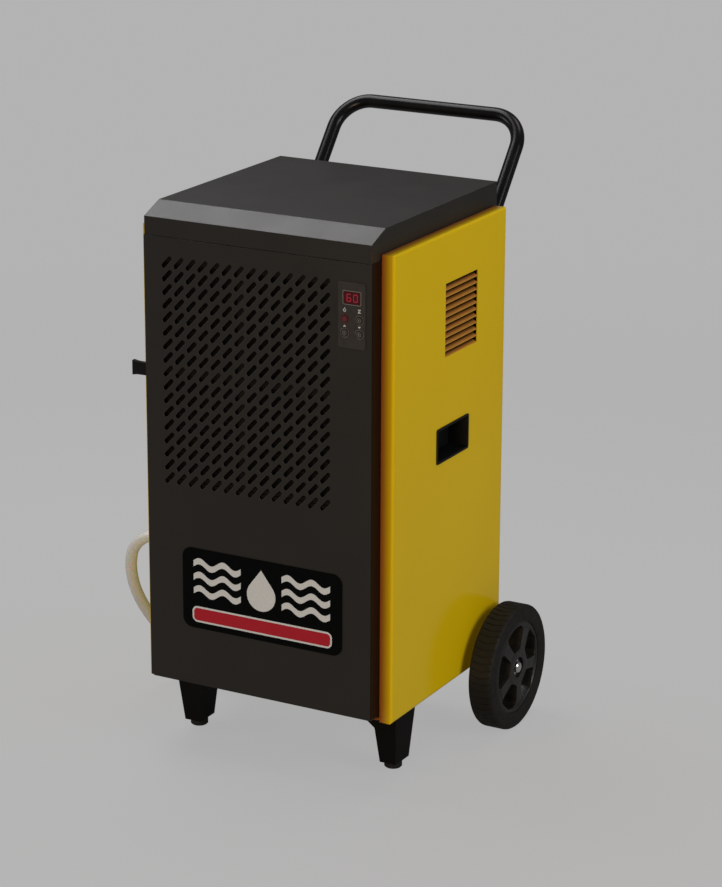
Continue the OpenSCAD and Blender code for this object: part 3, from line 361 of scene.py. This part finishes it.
def leg_paint():
    """Matt black powder coat on the legs and brackets."""
    paint = Paint("leg_paint", (0.006, 0.0055, 0.005), 0.5)
    paint.round_edges(0.0012)
    wear = paint.multiply(paint.edge(), paint.ramp(paint.noise(40), 0.4, 0.7, 0.1, 0.8))
    tone = paint.two_tones((0.0034, 0.0031, 0.0027), (0.0052, 0.0047, 0.0041), 9)
    paint.over(tone, wear, (0.03, 0.028, 0.026))
    paint.rough(paint.noise(16, 4), 0.45, 0.55)
    paint.set(Specular_IOR_Level=0.1)
    paint.bump(paint.noise(900, 2), 0.25, 0.0003)
    return paint


def tube_paint():
    """Gloss black paint on tubes."""
    paint = Paint("tube_paint", (0.006, 0.006, 0.0062), 0.18)
    paint.two_tones((0.005, 0.005, 0.0052), (0.009, 0.009, 0.009), 20)
    paint.rough(paint.noise(30, 3), 0.22, 0.27, low=0.35)
    paint.set(Specular_IOR_Level=0.24)
    paint.bump(paint.noise(300, 2), 0.03, 0.0001)
    return paint


def moulded(name, dark, pale, roughness, grain, depth, specular=0.4):
    """Moulded plastic or rubber: two close tones and a fine grain."""
    paint = Paint(name, dark, roughness)
    paint.set(Specular_IOR_Level=specular)
    paint.two_tones(dark, pale, 25, 5)
    paint.rough(paint.noise(60, 4), roughness - 0.06, roughness + 0.06)
    paint.bump(paint.noise(grain, 2), 0.35, depth)
    return paint


def tyre_rubber():
    """Solid rubber, a little dusty in patches, with a painted highlight along its rounded edges."""
    paint = Paint("tyre_rubber", (0.02, 0.018, 0.015), 0.7)
    paint.round_edges(0.0012)
    clouds = paint.ramp(paint.noise(28, 6), 0.4, 0.75, 0, 0.8)
    specks = paint.ramp(paint.noise(240, 3), 0.3, 0.7, 0.3, 1)
    tone = paint.color(paint.multiply(clouds, specks), (0.0062, 0.0054, 0.0042), (0.014, 0.0115, 0.0085))
    # painted highlight: paler along the rounded edges, such as the tyre's shoulder
    paint.over(tone, paint.edge(0.1), (0.024, 0.021, 0.018))
    paint.rough(paint.noise(80, 4), 0.6, 0.78)
    paint.set(Specular_IOR_Level=0.35)
    paint.bump(paint.noise(500, 3), 0.35, 0.0006)
    return paint


def rim_plastic():
    """Moulded dark plastic with a faint sheen along its edges."""
    paint = Paint("rim_plastic", (0.013, 0.0123, 0.0112), 0.42)
    paint.round_edges(0.0015)
    tone = paint.two_tones((0.011, 0.0104, 0.0095), (0.016, 0.0151, 0.014), 30, 4)
    paint.over(tone, paint.edge(0.08), (0.04, 0.038, 0.036))
    paint.rough(paint.noise(90, 4), 0.36, 0.5)
    paint.bump(paint.noise(700, 2), 0.25, 0.0003)
    return paint


def metal(name, first, second, roughness, stretch, depth=0.0001, scale=180):
    """Metal with fine drawn or brushed lines along one direction."""
    paint = Paint(name, first, roughness, 1.0)
    paint.two_tones(first, second, 12, 5)
    lines = paint.noise(scale, 3, stretch)
    paint.rough(lines, roughness - 0.07, roughness + 0.09)
    paint.bump(lines, 0.3, depth)
    return paint


def printed(name, color, roughness=0.4, specular=0.5):
    """Ink or film: an even colour that is very slightly mottled."""
    paint = Paint(name, color, roughness)
    paint.set(Specular_IOR_Level=specular)
    paint.two_tones(color, tuple(0.9 * c for c in color), 400)
    paint.rough(paint.noise(120, 3), roughness - 0.05, roughness + 0.08)
    paint.bump(paint.noise(900, 2), 0.1, 0.0001)
    return paint


def display_red():
    """Smoked red window over lit digits."""
    paint = printed("display_red", (0.075, 0.006, 0.008), 0.16)
    paint.set(Coat_Weight=0.6, Coat_Roughness=0.05)
    return paint


def board_green():
    """Coated circuit board with paler tracks."""
    paint = Paint("board_green", (0.02, 0.13, 0.05), 0.35)
    tracks = paint.add("ShaderNodeTexBrick")
    tracks.inputs["Scale"].default_value = 220
    tracks.inputs["Mortar Size"].default_value = 0.03
    tracks.inputs["Color1"].default_value = (0.015, 0.11, 0.04, 1)
    tracks.inputs["Color2"].default_value = (0.02, 0.13, 0.05, 1)
    tracks.inputs["Mortar"].default_value = (0.05, 0.24, 0.1, 1)
    paint.link(paint.place, tracks.inputs["Vector"])
    paint.link(tracks.outputs["Color"], paint.shader.inputs["Base Color"])
    paint.bump(paint.noise(600, 2), 0.2, 0.0002)
    return paint


def hose_vinyl():
    """Milky vinyl that lets a little light through."""
    paint = Paint("hose_vinyl", (0.80, 0.83, 0.84), 0.3)
    tone = paint.two_tones((0.86, 0.90, 0.92), (0.81, 0.85, 0.86), 9)
    paint.over(tone, paint.ramp(paint.noise(70, 5), 0.58, 0.8, 0, 0.2), (0.66, 0.65, 0.60))
    paint.rough(paint.noise(40, 4), 0.22, 0.36)
    paint.set(Transmission_Weight=0.08, Subsurface_Weight=0.35, Subsurface_Scale=0.01)
    paint.bump(paint.noise(60, 2), 0.05, 0.0004)
    return paint


def net_cloth():
    """Fine woven net: threads about 1 mm apart, open between them."""
    paint = Paint("net_cloth", (0.012, 0.012, 0.012), 0.7)
    threads = []
    for axis in ("X", "Z"):
        wave = paint.add("ShaderNodeTexWave", bands_direction=axis)
        wave.inputs["Scale"].default_value = 320
        paint.link(paint.place, wave.inputs["Vector"])
        threads.append(wave.outputs["Fac"])
    top = paint.add("ShaderNodeMath", operation="MAXIMUM")
    paint.link(threads[0], top.inputs[0])
    paint.link(threads[1], top.inputs[1])
    paint.link(paint.ramp(top.outputs["Value"], 0.35, 0.6, 0.6, 1), paint.shader.inputs["Alpha"])
    paint.two_tones((0.003, 0.003, 0.003), (0.006, 0.0055, 0.005), 15, 4)
    paint.set(Specular_IOR_Level=0.1)
    paint.bump(top.outputs["Value"], 0.5, 0.0003)
    return paint


PAINTS = {
    "case_paint": case_paint(),
    "cover_paint": cover_paint(),
    "tube_paint": tube_paint(),
    "leg_paint": leg_paint(),
    "grip_plastic": moulded(
        "grip_plastic", (0.0035, 0.0034, 0.0033), (0.0055, 0.0054, 0.0052), 0.5, 700, 0.0004, 0.25),
    "foot_rubber": moulded(
        "foot_rubber", (0.0035, 0.0034, 0.0033), (0.006, 0.0056, 0.005), 0.68, 500, 0.0006),
    "tyre_rubber": tyre_rubber(),
    "rim_plastic": rim_plastic(),
    "zinc_steel": metal("zinc_steel", (0.52, 0.52, 0.50), (0.64, 0.63, 0.60), 0.34, (1, 1, 0.06)),
    "bright_cap": metal("bright_cap", (0.72, 0.72, 0.72), (0.82, 0.82, 0.81), 0.16, (0.2, 1, 1), 0.00005),
    "badge_black": printed("badge_black", (0.0010, 0.0014, 0.0014), 0.3, 0.1),
    "panel_film": printed("panel_film", (0.036, 0.034, 0.031), 0.42),
    "print_white": printed("print_white", (0.82, 0.89, 0.95)),
    "print_red": printed("print_red", (0.52, 0.006, 0.024)),
    "display_red": display_red(),
    "button_plastic": moulded(
        "button_plastic", (0.021, 0.0195, 0.0175), (0.027, 0.025, 0.0225), 0.42, 700, 0.0002),
    "board_green": board_green(),
    "fin_aluminium": metal("fin_aluminium", (0.66, 0.68, 0.70), (0.76, 0.77, 0.78), 0.3, (1, 0.1, 1)),
    "copper_tube": metal("copper_tube", (0.66, 0.28, 0.15), (0.50, 0.22, 0.13), 0.3, (0.1, 1, 1)),
    "tray_plastic": moulded("tray_plastic", (0.10, 0.10, 0.105), (0.13, 0.13, 0.135), 0.5, 600, 0.0003),
    "hose_vinyl": hose_vinyl(),
}
NET = net_cloth()
PANEL_INK = printed("panel_ink", (0.25, 0.245, 0.235))
POWER_INK = printed("power_ink", (0.22, 0.012, 0.035))


def paint_cad():
    """Gives each CAD node the finish of its slot in the record."""
    for part in frame["record"]["subparts"]:
        paint = PAINTS[part["material_slot"]]
        for slot in frame["nodes"][part["node"]].material_slots:
            slot.material = paint.material


paint_cad()

# ---------- Pieces ----------


def finish_piece(piece, paint, body="cabinet"):
    """Paints a piece, and ties it to its body."""
    piece.data.materials.append(paint.material)
    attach(piece, body)


def piece_from(name, mesh):
    data = bpy.data.meshes.new(name)
    mesh.to_mesh(data)
    mesh.free()
    piece = bpy.data.objects.new(name, data)
    bpy.context.scene.collection.objects.link(piece)
    return piece


def add_inlay(mesh, outline, face, thick, hole=None):
    """A thin plate a quarter sunk in a face that looks along -Y; outline and hole are lists of (x, z)."""
    y = face - thick * 0.75
    outer = [mesh.verts.new((x, y, z)) for x, z in outline]
    if hole is None:
        faces = [mesh.faces.new(outer)]
    else:
        inner = [mesh.verts.new((x, y, z)) for x, z in hole]
        count = len(outline)
        pairs = [(i, (i + 1) % count) for i in range(count)]
        faces = [mesh.faces.new([outer[i], outer[j], inner[j], inner[i]]) for i, j in pairs]
    for made in faces:
        made.normal_update()
        if made.normal.y > 0:
            made.normal_flip()
    back = bmesh.ops.extrude_face_region(mesh, geom=faces)
    for vert in (v for v in back["geom"] if isinstance(v, bmesh.types.BMVert)):
        vert.co.y += thick


def ring_points(x, z, r, count):
    """Points evenly round a circle, as (x, z)."""
    angles = [math.radians(360 / count * k) for k in range(count)]
    return [(x + r * math.cos(a), z + r * math.sin(a)) for a in angles]


def rounded_box(x, z, w, h, r, steps=6):
    """Points round a box with rounded corners, as (x, z)."""
    points = []
    for cx, cz, start in ((1, 1, 0), (-1, 1, 90), (-1, -1, 180), (1, -1, 270)):
        for k in range(steps + 1):
            angle = math.radians(start + 90 * k / steps)
            points.append((x + cx * (w / 2 - r) + r * math.cos(angle),
                           z + cz * (h / 2 - r) + r * math.sin(angle)))
    return points


def add_disc(mesh, x, z, r, face, thick, count):
    add_inlay(mesh, ring_points(x, z, r, count), face, thick)


def add_ring(mesh, x, z, r, line, face, thick, count=32):
    add_inlay(mesh, ring_points(x, z, r, count), face, thick, ring_points(x, z, r - line, count))


def add_bar(mesh, x, z, w, h, face, thick, turn=0.0):
    """A flat bar of width w and height h, turned by that many degrees."""
    c, s = math.cos(math.radians(turn)), math.sin(math.radians(turn))
    corners = [(-w / 2, -h / 2), (w / 2, -h / 2), (w / 2, h / 2), (-w / 2, h / 2)]
    add_inlay(mesh, [(x + u * c - v * s, z + u * s + v * c) for u, v in corners], face, thick)


# thickness of printed marks
INK = 0.00006
BUTTONS = {name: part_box("button_" + name) for name in ("power", "timer", "up", "down")}


def middle(box):
    """The middle of a box, as (x, z)."""
    low, high = box
    return (low.x + high.x) / 2, (low.z + high.z) / 2


def make_panel_rings():
    """Rings round the buttons, and a fine frame round the display."""
    mesh = bmesh.new()
    for name in ("timer", "up", "down"):
        x, z = middle(BUTTONS[name])
        add_ring(mesh, x, z, 0.0072, 0.0006, PANEL_FACE, INK)
    x, z = middle(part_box("display_window"))
    add_inlay(mesh, rounded_box(x, z, DISPLAY_W + 0.0022, DISPLAY_H + 0.0022, 0.0024), PANEL_FACE, INK,
              rounded_box(x, z, DISPLAY_W + 0.0004, DISPLAY_H + 0.0004, 0.0016))
    piece = piece_from("panel_rings", mesh)
    finish_piece(piece, PANEL_INK)


def make_panel_icons():
    """A small generic icon above each button: power, timer, up and down."""
    mesh = bmesh.new()
    x, z = middle(BUTTONS["power"])
    add_inlay(mesh, ring_points(x, z + 0.0128, 0.0024, 20), PANEL_FACE, INK,
              ring_points(x, z + 0.0128, 0.0015, 20))
    add_bar(mesh, x, z + 0.0156, 0.0010, 0.0026, PANEL_FACE, INK)
    x, z = middle(BUTTONS["timer"])
    add_bar(mesh, x, z + 0.0158, 0.0048, 0.0009, PANEL_FACE, INK)
    add_bar(mesh, x, z + 0.0112, 0.0048, 0.0009, PANEL_FACE, INK)
    add_bar(mesh, x, z + 0.0135, 0.0009, 0.0048, PANEL_FACE, INK, 40)
    add_bar(mesh, x, z + 0.0135, 0.0009, 0.0048, PANEL_FACE, INK, -40)
    for name, rise in (("up", 1), ("down", -1)):
        x, z = middle(BUTTONS[name])
        base = z + 0.0105
        add_inlay(mesh, [(x - 0.0026, base - rise * 0.0012), (x + 0.0026, base - rise * 0.0012),
                         (x, base + rise * 0.0014)], PANEL_FACE, INK)
    piece = piece_from("panel_icons", mesh)
    finish_piece(piece, PAINTS["print_white"])


def make_power_ring():
    """The red ring round the power button."""
    mesh = bmesh.new()
    x, z = middle(BUTTONS["power"])
    add_ring(mesh, x, z, 0.0073, 0.0008, PANEL_FACE, INK)
    piece = piece_from("power_button_ring", mesh)
    finish_piece(piece, POWER_INK)


def make_button_marks():
    """A ring and a dot on each button's cap, which move with it: red and bolder on the power button."""
    for name, box in BUTTONS.items():
        if name == "power":
            ring_r, dot_r, ink, slot = 0.0042, 0.0026, POWER_INK, "print_red"
        else:
            ring_r, dot_r, ink, slot = 0.0036, 0.0011, PANEL_INK, "print_white"
        mesh = bmesh.new()
        x, z = middle(box)
        cap = box[0].y
        add_ring(mesh, x, z, ring_r, 0.0006, cap, INK, 24)
        add_disc(mesh, x, z, dot_r, cap, INK, 16)
        piece = piece_from("button_mark_" + name, mesh)
        finish_piece(piece, ink, name + "_button")


# each segment of a digit: its place across and up, and whether it lies flat
SEGMENTS = {"top": (0, 1, 1), "middle": (0, 0, 1), "bottom": (0, -1, 1),
            "upper_left": (-1, 0.5, 0), "lower_left": (-1, -0.5, 0),
            "upper_right": (1, 0.5, 0), "lower_right": (1, -0.5, 0)}
DIGITS = {"6": ("top", "middle", "bottom", "upper_left", "lower_left", "lower_right"),
          "0": ("top", "bottom", "upper_left", "lower_left", "upper_right", "lower_right")}


def lit_segments():
    """Dim red light behind a smoked window."""
    paint = Paint("lit_segments", (0.30, 0.012, 0.03), 0.3)
    glow = paint.ramp(paint.noise(700, 2), 0.3, 0.7, 0.20, 0.28)
    paint.link(glow, paint.shader.inputs["Emission Strength"])
    paint.set(Emission_Color=(0.75, 0.03, 0.07, 1))
    return paint


def make_digits():
    """Two plain seven-segment digits on the display."""
    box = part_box("display_window")
    x, z = middle(box)
    mesh = bmesh.new()
    for number, offset in (("6", -0.0052), ("0", 0.0058)):
        for name in DIGITS[number]:
            across, up, flat = SEGMENTS[name]
            size = (0.0058, 0.0013) if flat else (0.0013, 0.0046)
            add_bar(mesh, x + offset + across * 0.0031, z + up * 0.0052, *size, box[0].y, INK)
    piece = piece_from("display_digits", mesh)
    finish_piece(piece, lit_segments())


def make_bar_outline():
    """White line round the badge's red bar."""
    low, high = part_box("badge_bar")
    x, z = middle((low, high))
    w, h = high.x - low.x, high.z - low.z
    mesh = bmesh.new()
    add_inlay(mesh, rounded_box(x, z, w + 0.006, h + 0.006, 0.009), BADGE_FACE, 0.0003,
              rounded_box(x, z, w + 0.0002, h + 0.0002, 0.0061))
    piece = piece_from("badge_bar_outline", mesh)
    finish_piece(piece, PAINTS["print_white"])


def make_filter_net():
    """The filter's net, in front of its grid: it slides out with the filter."""
    low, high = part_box("filter_grid")
    mesh = bmesh.new()
    columns, rows = 48, 54
    y = low.y - 0.0002
    sag = 0.0009
    # each shallow pocket of the net is three columns wide and three rows high
    verts = [[mesh.verts.new((
        low.x + (high.x - low.x) * i / columns,
        y + sag * math.sin(math.pi * (i % 3) / 3) * math.sin(math.pi * (j % 3) / 3),
        low.z + (high.z - low.z) * j / rows)) for j in range(rows + 1)] for i in range(columns + 1)]
    for i in range(columns):
        for j in range(rows):
            face = mesh.faces.new([verts[i][j], verts[i + 1][j], verts[i + 1][j + 1], verts[i][j + 1]])
            face.smooth = True
    piece = piece_from("filter_net", mesh)
    finish_piece(piece, NET, "air_filter")


# direction of the strap, seen from the middle of the coil
TIE_TURN = math.radians(-30)
TIE_WIDTH, TIE_THICK = 0.012, 0.0011
TIE_GAP = 0.0012
# least height above the floor of the strap's outer and inner face
TIE_OUTER_LOW, TIE_INNER_LOW = 0.0004, 0.0009
# the turns of hose that the strap bends round: radius and height of the turn, first and last angle
TIE_BENDS = (
    (COIL_OUTER, HOSE_D / 2, -80, 40),
    (COIL_INNER, 1.5 * HOSE_D, 40, 180),
    (COIL_INNER, HOSE_D / 2, 180, 260),
)


def tie_loop():
    """The strap's outer face, as points (distance from the coil's middle, height)."""
    r = HOSE_D / 2 + TIE_GAP
    loop = []
    for radius, height, start, end in TIE_BENDS:
        for k in range(13):
            a = math.radians(start + (end - start) * k / 12)
            loop.append((radius + r * math.cos(a), max(TIE_OUTER_LOW, height + r * math.sin(a))))
    return loop


def make_coil_tie():
    """A strap round the hose's coil, flat where it lies on the floor."""
    middle_of_coil = Vector((*COIL_AT, 0))
    out = Vector((math.cos(TIE_TURN), math.sin(TIE_TURN), 0))
    along = Vector((-out.y, out.x, 0))
    loop = tie_loop()
    mesh = bmesh.new()
    rows = []
    for k, outer in enumerate(loop):
        before, after = loop[k - 1], loop[(k + 1) % len(loop)]
        way = Vector((after[0] - before[0], after[1] - before[1])).normalized()
        inner = (outer[0] - way.y * TIE_THICK, max(TIE_INNER_LOW, outer[1] + way.x * TIE_THICK))
        row = []
        for (distance, height), side in ((outer, -1), (outer, 1), (inner, 1), (inner, -1)):
            place = middle_of_coil + out * distance + along * side * TIE_WIDTH / 2
            row.append(mesh.verts.new((place.x, place.y, height)))
        rows.append(row)
    for k, row in enumerate(rows):
        following = rows[(k + 1) % len(rows)]
        for c in range(4):
            d = (c + 1) % 4
            mesh.faces.new([row[c], row[d], following[d], following[c]])
    bmesh.ops.recalc_face_normals(mesh, faces=mesh.faces)
    piece = piece_from("coil_tie", mesh)
    bevel = piece.modifiers.new("bevel", "BEVEL")
    bevel.width = 0.0003
    bevel.segments = 2
    finish_piece(piece, PAINTS["grip_plastic"])
    return piece


make_panel_rings()
make_panel_icons()
make_power_ring()
make_button_marks()
make_digits()
make_bar_outline()
make_filter_net()

hose = make_hose()
finish_piece(hose, PAINTS["hose_vinyl"])
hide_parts("drain_hose", "hose_coil")
tie = make_coil_tie()

# ---------- Floor and light ----------

BACKDROP = (0.452, 0.452, 0.452, 1)


def floor_material():
    """Pale and matt, partly lit from itself, fading into the backdrop well outside the machine."""
    material = bpy.data.materials.new("floor")
    material.use_nodes = True
    nodes, links = material.node_tree.nodes, material.node_tree.links
    shader = nodes["Principled BSDF"]
    shader.inputs["Base Color"].default_value = (0.80, 0.80, 0.80, 1)
    shader.inputs["Roughness"].default_value = 0.9
    shader.inputs["Specular IOR Level"].default_value = 0.1
    glow = nodes.new("ShaderNodeEmission")
    glow.inputs["Color"].default_value = BACKDROP
    # what the floor gives back to the machine is less than what it shows
    path = nodes.new("ShaderNodeLightPath")
    strength = nodes.new("ShaderNodeMapRange")
    strength.inputs["To Min"].default_value = 0.3
    strength.inputs["To Max"].default_value = 1.0
    links.new(path.outputs["Is Camera Ray"], strength.inputs["Value"])
    links.new(strength.outputs["Result"], glow.inputs["Strength"])
    part = nodes.new("ShaderNodeMixShader")
    part.inputs["Fac"].default_value = 0.86
    links.new(shader.outputs["BSDF"], part.inputs[1])
    links.new(glow.outputs["Emission"], part.inputs[2])
    # the fade, by distance from the machine's middle
    place = nodes.new("ShaderNodeTexCoord")
    reach = nodes.new("ShaderNodeVectorMath")
    reach.operation = "LENGTH"
    links.new(place.outputs["Object"], reach.inputs[0])
    fade = nodes.new("ShaderNodeMapRange")
    fade.interpolation_type = "SMOOTHSTEP"
    fade.inputs["From Min"].default_value = 1.2
    fade.inputs["From Max"].default_value = 3.2
    links.new(reach.outputs["Value"], fade.inputs["Value"])
    clear = nodes.new("ShaderNodeBsdfTransparent")
    blend = nodes.new("ShaderNodeMixShader")
    links.new(fade.outputs["Result"], blend.inputs["Fac"])
    links.new(part.outputs["Shader"], blend.inputs[1])
    links.new(clear.outputs["BSDF"], blend.inputs[2])
    links.new(blend.outputs["Shader"], nodes["Material Output"].inputs["Surface"])
    return material


def make_floor():
    """A plain pale floor."""
    mesh = bmesh.new()
    half = 3.4
    corners = ((-half, -half, 0), (half, -half, 0), (half, half, 0), (-half, half, 0))
    mesh.faces.new([mesh.verts.new(corner) for corner in corners])
    floor = piece_from("floor", mesh)
    floor.data.materials.append(floor_material())


def make_world():
    """A plain grey backdrop that gives less light than it shows."""
    world = bpy.data.worlds.new("studio")
    bpy.context.scene.world = world
    world.use_nodes = True
    nodes, links = world.node_tree.nodes, world.node_tree.links
    shown = nodes["Background"]
    shown.inputs["Color"].default_value = BACKDROP
    given = nodes.new("ShaderNodeBackground")
    given.inputs["Color"].default_value = (0.10, 0.10, 0.105, 1)
    path = nodes.new("ShaderNodeLightPath")
    mix = nodes.new("ShaderNodeMixShader")
    links.new(path.outputs["Is Camera Ray"], mix.inputs["Fac"])
    links.new(given.outputs["Background"], mix.inputs[1])
    links.new(shown.outputs["Background"], mix.inputs[2])
    links.new(mix.outputs["Shader"], nodes["World Output"].inputs["Surface"])


def make_light(name, at, to, size, power, color=(1, 1, 1)):
    """A soft rectangular light at one place, turned toward another."""
    data = bpy.data.lights.new(name, "AREA")
    data.shape = "RECTANGLE"
    data.size, data.size_y = size
    data.energy = power
    data.color = color
    light = bpy.data.objects.new(name, data)
    light.location = at
    light.rotation_euler = (Vector(to) - Vector(at)).to_track_quat("-Z", "Y").to_euler()
    bpy.context.scene.collection.objects.link(light)


make_floor()
make_world()
make_light("overhead", (-1.2, 0.3, 2.9), (0, 0, 0.6), (1.9, 1.5), 40)
make_light("top_right", (0.7, 1.0, 2.9), (0.1, 0, 0.8), (1.0, 1.0), 9, (1.0, 0.92, 0.82))
make_light("right_side", (3.2, -0.4, 1.7), (0, 0, 0.5), (1.6, 1.8), 38)
make_light("front_warm", (0.7, -3.6, 0.8), (0, 0, 0.45), (1.0, 1.4), 36, (1.0, 0.74, 0.48))
make_light("left_fill", (-2.6, -1.6, 1.2), (-0.2, 0, 0.3), (1.2, 1.2), 12)
bpy.context.scene.view_settings.view_transform = "Standard"
